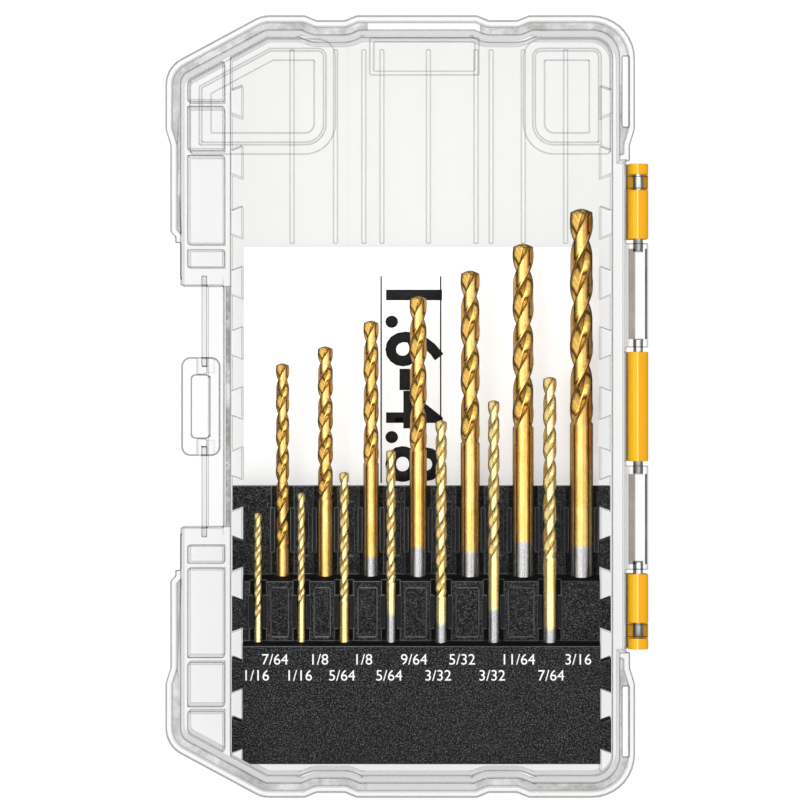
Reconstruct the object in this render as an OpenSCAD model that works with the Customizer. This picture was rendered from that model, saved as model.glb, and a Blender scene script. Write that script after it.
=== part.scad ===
/* [Case] */
// Length of the case along Y
case_l = 160; // [156:1:170]
// Width of the case across X, at its corners
case_w = 96; // [94:1:104]
// Height of the base tray
base_h = 19; // [18.5:0.5:24]
// Height of the lid, from the seam to its top face
lid_h = 11; // [10:0.5:16]
// Gap at the seam between the base and the lid
seam_gap = 0.2; // [0.1:0.05:0.4]
// Thickness of the case's side walls
wall_t = 1.4; // [1.2:0.1:1.8]
// Thickness of the tray's floor
floor_t = 1.6; // [1.2:0.1:2.2]
// Thickness of the lid's top plate
top_t = 1.6; // [1.2:0.1:2.2]
// Radius of the two corners on the hinge side, at the rim
corner_r = 8.8; // [7:0.2:12]
// Width across X of the two cut corners on the latch side
cut_w = 19.7; // [16:0.1:22]
// Length along Y of the two cut corners on the latch side
cut_l = 10.6; // [8:0.1:12]
// Radius that blends a cut corner into the edges beside it
cut_r = 6; // [3:0.5:7]

/* [Rim] */
// Overhang of the rim past the side walls
rim_w = 3.2; // [2.6:0.1:3.6]
// Thickness of the rim plate of each half
rim_t = 2.2; // [1.6:0.1:2.6]
// Width of the raised bead round the rim's edge
bead_w = 1.3; // [0.8:0.1:1.5]
// Height of the bead over the rim plate
bead_h = 1.2; // [0.6:0.1:1.6]
// Depth of the scallops in the rim's two short edges
scallop_d = 1; // [0.5:0.1:1.4]
// Length of each scallop's floor
scallop_l = 5.8; // [4:0.2:8]
// Length of each scallop's sloping ends
scallop_slope = 2.4; // [1.6:0.1:3.2]
// How far the long edges step in beyond the corners
waist_d = 1; // [0.6:0.1:1.2]
// Half length of the stretch that steps in, measured from the middle
waist_y = 53.5; // [52:0.5:56]
// Length of the slot through the rim beside each hinge-side corner
slot_l = 14.4; // [8:0.2:15]
// Width of those slots
slot_w = 1.4; // [1:0.1:1.6]
// Distance of those slots from the case's long edge
slot_edge = 1.1; // [1:0.1:1.6]
// Distance of those slots from the case's end
slot_end = 8.3; // [7.5:0.1:10]

/* [Latch side] */
// Distance from the case's edge in to the wall of the finger recess
recess_d = 11.9; // [11.4:0.1:12.5]
// Length of the finger recess along Y
recess_l = 49.4; // [44:0.2:52]
// Thickness of the wall between the recess and the bit bay
recess_wall_t = 1.4; // [1.2:0.1:1.6]
// Thickness of the blocks at the recess's two ends
recess_end_t = 3.8; // [3.4:0.1:4.4]
// Depth of the shoulder beside the recess
shoulder_d = 3; // [2.6:0.1:3.4]
// Length of the shoulder beside the recess
shoulder_l = 8.8; // [7:0.1:9.5]
// Overhang of the catch ledge that the latch hooks under
ledge_w = 3.3; // [2.6:0.1:3.4]
// Thickness of the ribs across the side pockets
pocket_rib_t = 1.2; // [1:0.1:1.6]
// Distances of those ribs from the shoulder beside the recess, towards the case's end
pocket_rib_at = [-0.9, 18.4, 28.4];

/* [Latch] */
// Length of the latch along Y
latch_l = 20.2; // [18:0.2:24]
// Width of the latch's plate across X
latch_w = 8; // [7.6:0.1:8.4]
// Thickness of the latch's plate
latch_t = 3; // [2.6:0.1:3.2]
// Corner radius of the latch's plate
latch_r = 1.9; // [1:0.1:2.4]
// Gap between the latch's plate and the recess wall
latch_gap = 0.6; // [0.4:0.1:0.8]
// Height of the latch's pivot over the seam
latch_pivot_h = 5.1; // [4.8:0.1:6]
// Distance from the recess wall to the latch's pivot
latch_pivot_d = 3.9; // [3.8:0.1:4.2]
// Width of the window in the latch's plate
window_w = 3.5; // [2.4:0.1:3.6]
// Length of the window in the latch's plate
window_l = 12.6; // [10:0.2:13]
// Corner radius of the window
window_r = 0.8; // [0.4:0.1:1.2]
// Distance of the window's middle from the pivot, away from the recess wall
window_out = 0.75; // [0.4:0.05:1]
// Thickness of the latch's two hook arms
arm_t = 1.6; // [1.2:0.1:1.8]
// Distance of the hook arms from the window's ends
arm_gap = 0.5; // [0.3:0.1:1]
// Reach of the hooks beyond their arms
hook_reach = 1.7; // [1.2:0.1:2]
// Thickness of the hooks
hook_t = 2.4; // [1.8:0.1:3]
// Clearance between the hooks and the catch ledge, and between the arms and its edge
hook_gap = 0.3; // [0.2:0.05:0.4]
// Diameter of the two latch pins
latch_pin_d = 1.1; // [1:0.05:1.4]
// Depth to which a latch pin enters the latch
latch_pin_grip = 2; // [1.5:0.1:3]
// Depth to which a latch pin enters the lid
latch_pin_seat = 2; // [1.5:0.1:3.2]

/* [Hinge] */
// Distance from the hinge axis out past the case's edge
hinge_out = 0.7; // [0.6:0.1:1.2]
// Outer diameter of the hinge barrel
barrel_d = 4.2; // [3.8:0.1:4.4]
// Diameter of the three hinge pins
hinge_pin_d = 2; // [1.6:0.1:2.2]
// How far the case's edge steps in along the hinge
hinge_step = 1.9; // [1.8:0.1:2.2]
// Length of the stepped-in stretch along the hinge
hinge_l = 100.6; // [100.6:0.2:104]
// Length of the middle knuckle
middle_knuckle_l = 22.4; // [18:0.2:24]
// Length of each of the lid's two long barrels
lid_barrel_l = 21.3; // [16:0.1:21.5]
// Length of each outer knuckle over all
outer_knuckle_l = 15.4; // [13:0.1:15.6]
// Thickness of the end block of each outer knuckle
end_block_t = 2.2; // [1.6:0.1:2.6]
// Thickness of the lid's lug in each outer knuckle
lug_t = 2.6; // [2:0.1:3]
// Gap along the axis between the knuckles and the lid's barrels
barrel_gap = 0.9; // [0.5:0.1:1.2]
// Gap along the axis on each side of a lid lug
lug_gap = 0.3; // [0.2:0.05:0.4]
// Depth to which each hinge pin enters a lid barrel
pin_grip = 1.6; // [1.5:0.1:6]
// Room beyond the end of a hinge pin in its barrel
pin_room = 0.2; // [0.1:0.1:0.6]
// Distance from the hinge axis down to the lower edge of the knuckles' feet
foot_h = 13; // [10:0.5:15]
// Thickness of the knuckles' feet at their lower edge
foot_t = 1; // [0.8:0.1:1.6]
// Height over which the knuckles' feet thicken
foot_slope = 5; // [3:0.5:7]

/* [Bit holder] */
// Height of the lower step over the floor, which is also the axis of the long row of bits
low_step_h = 7.9; // [7:0.1:9]
// Height of the upper step over the floor, which is also the axis of the short row of bits
high_step_h = 12.9; // [12:0.1:13.4]
// Height of the size panel over the floor
panel_h = 16.6; // [15.6:0.1:16.8]
// Length of the lower step along Y, from its front edge to the foot of the riser
low_step_l = 18.2; // [15:0.1:21]
// Length of the upper step along Y, from riser foot to riser foot
high_step_l = 13.6; // [12:0.1:15.5]
// Length of the size panel along Y, to the foot of its riser
panel_l = 25.2; // [18:0.1:26]
// How far the risers lean back, per length of their height
riser_lean = 0.28; // [0.1:0.02:0.4]
// Gap between the panel's end and the end wall of the tray
panel_gap = 2.1; // [1:0.1:3]
// Depth of the sockets that hold the shanks
socket_l = 14.4; // [9:0.1:15]
// Room beyond the end of each shank in its socket
socket_room = 0.6; // [0.3:0.1:1]
// Radial clearance of a shank in its socket
socket_gap = 0.1; // [0.05:0.01:0.2]
// Clearance beside a bit in its channel
channel_gap = 0.9; // [0.6:0.05:1]
// Clearance under a bit in its channel
channel_floor_gap = 0.4; // [0.3:0.05:0.6]
// Thickness of the gripping fingers
finger_t = 0.9; // [0.8:0.05:1.1]
// Clearance between a finger and its bit
finger_gap = 0.2; // [0.15:0.05:0.3]
// Height of the fingers over their step
finger_rise = 0.6; // [0.3:0.1:0.8]
// Length of the fingers on the lower step
low_finger_l = 9.2; // [6:0.1:11]
// Length of the fingers on the upper step
high_finger_l = 6.9; // [5:0.1:9]
// Depth of the shallow panels between the channels
sunk_d = 0.5; // [0.3:0.1:0.8]
// Width of the land left beside each shallow panel
sunk_land = 1; // [0.6:0.1:1.4]
// Distance of the lower step's shallow panels from its front edge
low_sunk_front = 3.3; // [2:0.1:4]
// Distance of the lower step's shallow panels from the riser behind them
low_sunk_back = 3.8; // [2.5:0.1:5]
// Distance of the upper step's shallow panels from the foot of its riser
high_sunk_front = 2.7; // [2.4:0.1:3.5]
// Distance of the upper step's shallow panels from the riser behind them
high_sunk_back = 0.8; // [0.6:0.1:2]
// Distance of the fingers on the lower step from its front edge
low_finger_gap = 4.5; // [3:0.1:6]
// Distance of the fingers on the upper step from the foot of its riser
high_finger_gap = 4.2; // [3:0.1:5]

/* [Rails] */
// Pitch of the dovetail teeth that hold the bit holder
tooth_pitch = 12.4; // [11.5:0.1:12.8]
// Distance of the first tooth's middle beyond the holder's end
tooth_start = 0.4; // [0:0.1:1.5]
// Number of teeth on each rail
tooth_n = 12; // [8:1:12]
// Width of a tooth where it leaves the wall
tooth_root = 5; // [4:0.1:5.4]
// Width of a tooth at its tip
tooth_tip = 6.7; // [5.6:0.1:7.2]
// Depth of a tooth
tooth_d = 2.2; // [1.6:0.1:2.4]
// Height of the rails over the floor
rail_h = 13.6; // [10:0.2:15]
// Clearance between the rails and the holder
rail_gap = 0.15; // [0.1:0.01:0.25]

/* [Drill bits] */
// Diameters of the long row, in sixty-fourths of an inch
long_64ths = [7, 8, 8, 9, 10, 11, 12];
// Diameters of the short row, in sixty-fourths of an inch
short_64ths = [4, 4, 5, 5, 6, 6, 7];
// Places of the long row across the bit bay, as shares of its width
long_share = [0.1344, 0.2471, 0.3675, 0.4917, 0.6287, 0.7682, 0.9219];
// Places of the short row across the bit bay, as shares of its width
short_share = [0.0704, 0.1844, 0.2971, 0.42, 0.5519, 0.6901, 0.8374];
// Lengths of the long row of bits
long_l = [57.8, 61.3, 66.6, 71.6, 76.9, 82.4, 89.6];
// Lengths of the short row of bits
short_l = [40.7, 44.8, 49.1, 53.6, 59.7, 63.8, 68.6];
// Flute lengths of the long row
long_flute_l = [36.3, 29.5, 27.6, 29.6, 33.2, 35.2, 41.4];
// Flute lengths of the short row
short_flute_l = [20.9, 22, 25.2, 26.1, 34.8, 31.3, 35.4];
// Flute pitch in bit diameters
flute_pitch = 4.9; // [4:0.1:6]
// Height of a bit's point, as a share of its radius
point_share = 0.6; // [0.4:0.05:0.8]
// Radius at the foot of a bit's point, as a share of its radius
point_foot_share = 0.7; // [0.6:0.05:0.9]
// Radius of a bit's chisel edge, as a share of its radius
chisel_share = 0.08; // [0.04:0.01:0.2]
// Radius of a bit's web between its flutes, as a share of its radius
web_share = 0.36; // [0.3:0.02:0.5]
// Radius of a bit where its flutes turn up to the lands, as a share of its radius
flute_edge_share = 0.62; // [0.55:0.01:0.75]

/* [Card and ribs] */
// Thickness of the backing card
card_t = 0.4; // [0.3:0.05:0.8]
// Length of the backing card along Y
card_l = 49; // [40:0.5:56]
// Gap between the card and the holder, and between the card and the teeth
card_gap = 0.2; // [0.2:0.05:0.6]
// Places of the ribs on the tray's floor across the bit bay, as shares of its width
floor_rib_share = [0.158, 0.273, 0.348, 0.396, 0.519, 0.645, 0.685, 0.77, 0.882];
// Height of the ribs on the tray's floor
floor_rib_h = 1.2; // [0.6:0.1:2]
// Width of the ribs on the tray's floor
floor_rib_w = 0.8; // [0.6:0.1:1.2]
// Length of the ribs on the tray's floor
floor_rib_l = 40; // [30:0.5:41]
// Gap between the card and the ribs on the tray's floor
card_rib_gap = 1; // [0.5:0.1:2]

/* [Lid top] */
// Depth of the frame grooves and the end recess in the lid's top face
lid_mark_d = 0.6; // [0.3:0.1:0.9]
// Width of the frame grooves in the lid's top face
lid_mark_w = 1.9; // [1:0.1:2.4]
// Width of the ridge between the two grooves of a frame
ridge_w = 0.5; // [0.4:0.1:1.2]
// Distance of the frames from the case's edges
frame_gap = 5.2; // [4.8:0.1:6.5]
// Reach of the latch-side frame from the case's edge
frame_w_left = 34.8; // [28:0.1:36]
// Reach of the hinge-side frame from the case's edge
frame_w_right = 22.9; // [18:0.1:24]
// Reach of the frames from the case's end
frame_l = 28.6; // [22:0.1:32]
// Radius of each frame's inward corner
frame_r = 6.2; // [4:0.1:7]
// Distance of the end recess's middle from the case's middle
end_mark_x = 4.9; // [2:0.1:6]
// Width of the end recess
end_mark_w = 22.2; // [16:0.1:24]
// Length of the end recess along Y
end_mark_l = 7.5; // [5:0.1:9]
// Distance of the end recess from the case's end
end_mark_gap = 5; // [4.8:0.1:6]
// Width of the shallower lip round the end recess
end_lip_w = 0.8; // [0.5:0.1:1.2]

/* [Hidden] */

$fn = 48;
clear_tint = [0.86, 0.89, 0.91, 0.45];
yellow_tint = [0.97, 0.7, 0.14];
black_tint = [0.1, 0.1, 0.11];
steel_tint = [0.72, 0.73, 0.75];
gold_tint = [0.9, 0.72, 0.3];
card_tint = [0.97, 0.97, 0.96];
// A cut runs this much past the faces that it opens, and a joined piece this much into its carrier
over = 0.5;
bite = 0.3;
inch = 25.4;
// Radial clearance of the turning pins, and of the pins in their fixed seats
turn_gap = 0.05;
seat_gap = 0.02;
// Angle between the points of a bit's fluted section
flute_step = 30;

// Edges of the case in plan
edge_x = case_w / 2;
edge_y = case_l / 2;
wall_in = rim_w + wall_t;
bay_right = edge_x - wall_in;
recess_x = -edge_x + recess_d;
bay_left = recess_x + recess_wall_t;
bay_end = edge_y - wall_in;
recess_y = recess_l / 2;
shoulder_y = recess_y + shoulder_l;
ledge_x = recess_x - ledge_w;
hinge_wall_x = edge_x - hinge_step;
// Length of the slope where a long edge steps in
waist_slope = 3.2;
// Size of the small bevel between the shoulder and the long edge
shoulder_slope = 1.1;
// Middles of the two scallops in a short edge, as shares of the case's width from its middle
scallop_share = [-0.148, 0.219];
scallop_x = scallop_share * case_w;
// Radius of the small bends in the rim's edge
small_r = 1.5;

// Heights
seam_z = base_h + seam_gap;
top_z = base_h + lid_h;
axis_z = base_h + seam_gap / 2;
axis_x = edge_x + hinge_out;
barrel_r = barrel_d / 2;
foot_x = axis_x - barrel_r;
foot_low = axis_z - foot_h;
pad_top = axis_z - barrel_r - lug_gap;

// Stretches along the hinge, from the middle outwards
barrel_y = middle_knuckle_l / 2 + barrel_gap;
outer_knuckle_y = barrel_y + lid_barrel_l + barrel_gap;
hinge_end_y = outer_knuckle_y + outer_knuckle_l;
lug_y = hinge_end_y - end_block_t - lug_gap - lug_t;
outer_pin_y = outer_knuckle_y - barrel_gap - pin_grip;

// Latch
pivot_x = recess_x - latch_pivot_d;
pivot_z = seam_z + latch_pivot_h;
latch_right = recess_x - latch_gap;
arm_right = ledge_x - hook_gap;
hook_top = base_h - rim_t - hook_gap;

// Holder
holder_end = -bay_end + panel_gap;
panel_y = holder_end + panel_l;
high_y = panel_y + high_step_l;
low_y = high_y + low_step_l;
low_axis_z = floor_t + low_step_h;
high_axis_z = floor_t + high_step_h;
panel_z = floor_t + panel_h;
long_x = bay_places(long_share);
short_x = bay_places(short_share);

// Side pockets beside the finger recess, which ribs divide
pocket_rib_y = [for (at = pocket_rib_at) shoulder_y + at];
floor_rib_x = bay_places(floor_rib_share);
floor_rib_y = low_y + card_l + card_rib_gap;

// ---- Outlines in plan: each point is [x, y, radius], counterclockwise ----

function bay_places(shares) = [for (share = shares) bay_left + share * (bay_right - bay_left)];
function xy(p) = [p[0], p[1]];
function unit(v) = v / norm(v);
function left_of(v) = [-v[1], v[0]];
function side_of(a, b, c) = sign(cross(xy(b) - xy(a), xy(c) - xy(b)));
function before(p, i) = p[(i + len(p) - 1) % len(p)];
function after(p, i) = p[(i + 1) % len(p)];
function mirrored(p) = [for (i = [len(p) - 1:-1:0]) [p[i][0], -p[i][1], p[i][2]]];

// The points of corner b, between a and c, rounded to its own radius
function round_corner(a, b, c) =
    b[2] == 0 ? [xy(b)] :
    let (back = unit(xy(a) - xy(b)),
         on = unit(xy(c) - xy(b)),
         half = acos(back * on) / 2,
         start = xy(b) + back * b[2] / tan(half),
         side = side_of(a, b, c),
         middle = start + left_of(-back) * side * b[2],
         from = atan2(start[1] - middle[1], start[0] - middle[0]),
         sweep = 180 - 2 * half,
         steps = max(2, ceil(sweep / 10)))
    [for (i = [0:steps])
        middle + b[2] * [cos(from + side * sweep * i / steps), sin(from + side * sweep * i / steps)]];

function rounded(p) = [for (i = [0:len(p) - 1]) each round_corner(before(p, i), p[i], after(p, i))];

// An outline moved inwards by d, with its radii changed to match
function inset(p, d) =
    [for (i = [0:len(p) - 1])
        let (a = before(p, i),
             b = p[i],
             c = after(p, i),
             n1 = left_of(unit(xy(b) - xy(a))),
             n2 = left_of(unit(xy(c) - xy(b))),
             q = xy(b) + (n1 + n2) * d / (1 + n1 * n2))
        [q[0], q[1], b[2] == 0 ? 0 : max(0.2, b[2] - side_of(a, b, c) * d)]];

function scallop(x, y) =
    [[x + scallop_l / 2 + scallop_slope, y, small_r],
     [x + scallop_l / 2, y - scallop_d, small_r],
     [x - scallop_l / 2, y - scallop_d, small_r],
     [x - scallop_l / 2 - scallop_slope, y, small_r]];

// The rim's edge on one half, from the hinge side over the short edge to the finger recess,
// whose wall is at x = deep_x
function half_rim(deep_x) =
    [[edge_x - waist_d, waist_y, small_r],
     [edge_x, waist_y + waist_slope, small_r],
     [edge_x, edge_y, corner_r],
     each scallop(scallop_x[1], edge_y),
     each scallop(scallop_x[0], edge_y),
     [-edge_x + cut_w, edge_y, cut_r],
     [-edge_x, edge_y - cut_l, cut_r],
     [-edge_x, waist_y + waist_slope, small_r],
     [-edge_x + waist_d, waist_y, small_r],
     [-edge_x + waist_d, shoulder_y + 2 * shoulder_slope, 0.5],
     [-edge_x + 2 * waist_d, shoulder_y + shoulder_slope, 0.5],
     [-edge_x + 2 * waist_d, shoulder_y, 0],
     [-edge_x + shoulder_d, shoulder_y, 0],
     [-edge_x + shoulder_d, recess_y, 2],
     [deep_x, recess_y, 0.5]];

function rim_outline(deep_x) = concat(half_rim(deep_x), mirrored(half_rim(deep_x)));

function half_body() =
    [[edge_x, edge_y, corner_r],
     each scallop(scallop_x[1], edge_y),
     each scallop(scallop_x[0], edge_y),
     [-edge_x + cut_w, edge_y, cut_r],
     [-edge_x, edge_y - cut_l, cut_r]];

body_outline = concat(half_body(), mirrored(half_body()));

// ---- Shared shapes ----

module box_between(low, high) {
    translate(low) cube(high - low);
}

// A rod of radius r along Y, from y0 to y1
module rod_y(r, x, z, y0, y1) {
    translate([x, y1, z]) rotate([90, 0, 0]) cylinder(r = r, h = y1 - y0);
}

// Side walls of one half of the case, as a solid block h high with the finger recess taken out
module walls(h) {
    difference() {
        linear_extrude(h) polygon(rounded(inset(body_outline, rim_w)));
        box_between([-edge_x, -recess_y, -over], [recess_x, recess_y, h + over]);
    }
    box_between([bay_right, -hinge_l / 2, 0], [hinge_wall_x, hinge_l / 2, h]);
}

// The rim in plan, smaller all round by d, with the stretch for the hinge stepped in
module rim_plan(deep_x, d) {
    difference() {
        polygon(rounded(inset(rim_outline(deep_x), d)));
        translate([hinge_wall_x - d, -hinge_l / 2 - d]) square([edge_x, hinge_l + 2 * d]);
    }
}

// Rim plate, standing on z = 0, with its raised bead and its two slots
module rim(deep_x) {
    difference() {
        union() {
            linear_extrude(rim_t) rim_plan(deep_x, 0);
            difference() {
                linear_extrude(rim_t + bead_h) rim_plan(recess_x, 0);
                translate([0, 0, rim_t]) linear_extrude(bead_h + over) rim_plan(recess_x, bead_w);
                box_between([-edge_x, -recess_y - over, rim_t], [0, recess_y + over, rim_t + bead_h + over]);
            }
        }
        for (side = [-1, 1])
            translate([edge_x - slot_edge - slot_w / 2, side * (edge_y - slot_end - slot_l / 2), 0])
                cube([slot_w, slot_l, 3 * rim_t], center = true);
    }
}

// The inside of the case's outer walls in plan, larger all round by grow
module inside_plan(grow) {
    polygon(rounded(inset(body_outline, wall_in - grow)));
}

// The hollows of one half: the bit bay, and the pockets beside the finger recess
module hollows(h) {
    linear_extrude(h) intersection() {
        inside_plan(0);
        translate([bay_left, -edge_y]) square([case_w, case_l]);
    }
    for (side = [0, 1])
        mirror([0, side, 0]) difference() {
            linear_extrude(h) intersection() {
                inside_plan(0);
                translate([-edge_x, recess_y + recess_end_t]) square([recess_d, case_l]);
            }
            for (y = pocket_rib_y)
                box_between([-edge_x, y - pocket_rib_t / 2, -over],
                            [recess_x + over, y + pocket_rib_t / 2, h + over]);
        }
}

// One dovetail tooth in plan, pointing to +X from the wall at x = 0, and larger all round by grow
module tooth_plan(grow) {
    polygon([[-bite - grow, -tooth_root / 2 - grow],
             [0, -tooth_root / 2 - grow],
             [tooth_d + grow, -tooth_tip / 2 - grow],
             [tooth_d + grow, tooth_tip / 2 + grow],
             [0, tooth_root / 2 + grow],
             [-bite - grow, tooth_root / 2 + grow]]);
}

// All the teeth of both rails in plan
module teeth_plan(grow) {
    for (i = [0:tooth_n - 1]) {
        y = holder_end - tooth_start + tooth_pitch * i;
        translate([bay_left, y]) tooth_plan(grow);
        translate([bay_right, y]) mirror([1, 0]) tooth_plan(grow);
    }
}

// ---- Case ----

// The pad on the tray's wall that a knuckle's foot sits on, from y0 to y1
module knuckle_pad(y0, y1) {
    box_between([hinge_wall_x - bite, y0, foot_low], [foot_x, y1, pad_top]);
}

module base_shell() {
    color(clear_tint) union() {
        difference() {
            union() {
                walls(base_h);
                translate([0, 0, base_h]) mirror([0, 0, 1]) rim(ledge_x);
            }
            translate([0, 0, floor_t]) hollows(base_h);
        }
        translate([0, 0, floor_t - bite]) linear_extrude(rail_h + bite) intersection() {
            teeth_plan(0);
            inside_plan(bite);
        }
        knuckle_pad(-middle_knuckle_l / 2, middle_knuckle_l / 2);
        for (side = [0, 1])
            mirror([0, side, 0]) knuckle_pad(outer_knuckle_y, hinge_end_y);
        intersection() {
            linear_extrude(base_h) inside_plan(bite);
            for (x = floor_rib_x)
                box_between([x - floor_rib_w / 2, floor_rib_y, floor_t - bite],
                            [x + floor_rib_w / 2, floor_rib_y + floor_rib_l, floor_t + floor_rib_h]);
        }
    }
}

// The lid's part of the hinge between y0 and y1: a barrel and its web to the wall
module lid_barrel(y0, y1) {
    rod_y(barrel_r, axis_x, axis_z, y0, y1);
    box_between([hinge_wall_x - bite, y0, seam_z], [axis_x, y1, axis_z + barrel_r]);
}

module lid_bore(y0, y1) {
    rod_y(hinge_pin_d / 2 + turn_gap, axis_x, axis_z, y0, y1);
}

module lid_shell() {
    color(clear_tint) difference() {
        union() {
            translate([0, 0, seam_z]) walls(top_z - seam_z);
            translate([0, 0, seam_z]) rim(recess_x);
            for (side = [0, 1])
                mirror([0, side, 0]) {
                    lid_barrel(barrel_y, barrel_y + lid_barrel_l);
                    lid_barrel(lug_y, lug_y + lug_t);
                }
        }
        translate([0, 0, seam_z - over]) hollows(top_z - top_t - seam_z + over);
        lid_bore(-barrel_y - pin_grip - pin_room, barrel_y + pin_grip + pin_room);
        for (side = [0, 1])
            mirror([0, side, 0]) lid_bore(outer_pin_y - pin_room, hinge_end_y);
        for (side = [0, 1])
            mirror([0, side, 0])
                rod_y(latch_pin_d / 2 + seat_gap, pivot_x, pivot_z,
                      recess_y - over, recess_y + latch_pin_seat);
        translate([0, 0, top_z - lid_mark_d]) linear_extrude(lid_mark_d + over) frame_grooves();
        end_recess(0, lid_mark_d / 2);
        end_recess(end_lip_w, lid_mark_d);
    }
}

// Corners of the two frames in the lid's top face, frame_gap out from their outer grooves
left_frame = [[-edge_x, edge_y - frame_l - frame_gap, cut_r],
              [-edge_x + frame_w_left + frame_gap, edge_y - frame_l - frame_gap, frame_r + frame_gap],
              [-edge_x + frame_w_left + frame_gap, edge_y, corner_r],
              [-edge_x + cut_w, edge_y, cut_r],
              [-edge_x, edge_y - cut_l, cut_r]];
right_frame = [[edge_x - frame_w_right - frame_gap, edge_y - frame_l - frame_gap, frame_r + frame_gap],
               [edge_x, edge_y - frame_l - frame_gap, cut_r],
               [edge_x, edge_y, corner_r],
               [edge_x - frame_w_right - frame_gap, edge_y, corner_r]];

// Frame grooves in the lid's top face, in plan
module frame_grooves() {
    for (corners = [left_frame, right_frame])
        for (d = [frame_gap, frame_gap + lid_mark_w + ridge_w])
            difference() {
                polygon(rounded(inset(corners, d)));
                polygon(rounded(inset(corners, d + lid_mark_w)));
            }
}

// The end recess at depth d in the lid's top face, smaller all round by lip
module end_recess(lip, d) {
    box_between([end_mark_x - end_mark_w / 2 + lip, edge_y - end_mark_gap - end_mark_l + lip, top_z - d],
                [end_mark_x + end_mark_w / 2 - lip, edge_y - end_mark_gap - lip, top_z + over]);
}

// ---- Hinge ----

// A knuckle that is fixed to the base, from y0 to y1, with its barrel and foot
module knuckle_body(y0, y1) {
    translate([0, y1, 0]) rotate([90, 0, 0]) linear_extrude(y1 - y0) {
        translate([axis_x, axis_z]) circle(r = barrel_r);
        polygon([[foot_x, foot_low],
                 [foot_x + foot_t, foot_low],
                 [axis_x + barrel_r, foot_low + foot_slope],
                 [axis_x + barrel_r, axis_z],
                 [foot_x, axis_z]]);
    }
}

module hinge_knuckle_outer() {
    color(yellow_tint) difference() {
        knuckle_body(outer_knuckle_y, hinge_end_y);
        box_between([hinge_wall_x - over, lug_y - lug_gap, pad_top],
                    [axis_x + barrel_r + over, hinge_end_y - end_block_t, axis_z + barrel_r + over]);
        rod_y(hinge_pin_d / 2 + seat_gap, axis_x, axis_z, outer_knuckle_y - over, hinge_end_y + over);
    }
}

module hinge_knuckle_upper() {
    hinge_knuckle_outer();
}

module hinge_knuckle_lower() {
    mirror([0, 1, 0]) hinge_knuckle_outer();
}

module hinge_knuckle_middle() {
    end_y = middle_knuckle_l / 2;
    color(yellow_tint) difference() {
        knuckle_body(-end_y, end_y);
        rod_y(hinge_pin_d / 2 + seat_gap, axis_x, axis_z, -end_y - over, end_y + over);
    }
}

module hinge_pin_upper() {
    color(steel_tint)
        rod_y(hinge_pin_d / 2, axis_x, axis_z, outer_pin_y, hinge_end_y - pin_room);
}

module hinge_pin_middle() {
    color(steel_tint)
        rod_y(hinge_pin_d / 2, axis_x, axis_z, -barrel_y - pin_grip, barrel_y + pin_grip);
}

module hinge_pin_lower() {
    mirror([0, 1, 0]) hinge_pin_upper();
}

// ---- Latch ----

// A rectangle in plan from x = left to x = right and from -y to y, with corners of radius r
module plate_plan(right, left, y, r) {
    polygon(rounded([[right, -y, r], [right, y, r], [left, y, r], [left, -y, r]]));
}

module latch() {
    low_z = hook_top - hook_t;
    end_y = latch_l / 2;
    window_y = window_l / 2;
    arm_y = window_y + arm_gap;
    window_mid_x = pivot_x - window_out;
    color(clear_tint) difference() {
        union() {
            translate([0, 0, pivot_z - latch_t / 2]) linear_extrude(latch_t)
                plate_plan(latch_right, latch_right - latch_w, end_y, latch_r);
            for (side = [0, 1])
                mirror([0, side, 0]) {
                    box_between([arm_right - arm_t, arm_y, low_z], [arm_right, end_y, pivot_z]);
                    box_between([arm_right - bite, arm_y, low_z],
                                [arm_right + hook_reach, end_y, hook_top]);
                }
        }
        translate([0, 0, pivot_z - latch_t]) linear_extrude(2 * latch_t)
            plate_plan(window_mid_x + window_w / 2, window_mid_x - window_w / 2, window_y, window_r);
        for (side = [0, 1])
            mirror([0, side, 0])
                rod_y(latch_pin_d / 2 + turn_gap, pivot_x, pivot_z,
                      end_y - latch_pin_grip - turn_gap, end_y + over);
    }
}

module latch_pin_upper() {
    color(clear_tint)
        rod_y(latch_pin_d / 2, pivot_x, pivot_z, latch_l / 2 - latch_pin_grip,
              recess_y + latch_pin_seat - seat_gap);
}

module latch_pin_lower() {
    mirror([0, 1, 0]) latch_pin_upper();
}

// ---- Bit holder and card ----

function bit_d(in_64ths) = in_64ths * inch / 64;

// What one bit takes out of the holder: its channel over the step, and its socket beyond the riser at y
module bit_cut(x, d, axis, y, step_l) {
    r = d / 2;
    box_between([x - r - channel_gap, y, axis - r - channel_floor_gap],
                [x + r + channel_gap, y + step_l + over, panel_z + over]);
    rod_y(r + socket_gap, x, axis, y - socket_l - socket_room, y + over);
}

// The two fingers that grip one bit's shank, l long and ending at y
module fingers(x, d, axis, y, l) {
    r = d / 2;
    for (side = [0, 1])
        translate([x, 0, 0]) mirror([side, 0, 0])
            box_between([r + finger_gap, y - l, axis - r - channel_floor_gap - bite],
                        [r + finger_gap + finger_t, y, axis + finger_rise]);
}

// Shallow panels between the channels of one row of bits
module sunk_panels(x, in_64ths, z, y0, y1) {
    for (i = [0:len(x) - 2])
        box_between([x[i] + bit_d(in_64ths[i]) / 2 + channel_gap + sunk_land, y0, z - sunk_d],
                    [x[i + 1] - bit_d(in_64ths[i + 1]) / 2 - channel_gap - sunk_land, y1, z + over]);
}

// A block from z0 up to z1 on the holder, whose leaning front stands on y
module raised_block(left, right, y, z0, z1) {
    translate([left, 0, 0]) rotate([90, 0, 90]) linear_extrude(right - left)
        polygon([[holder_end, z0 - bite], [y, z0 - bite], [y, z0],
                 [y - riser_lean * (z1 - z0), z1], [holder_end, z1]]);
}

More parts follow.
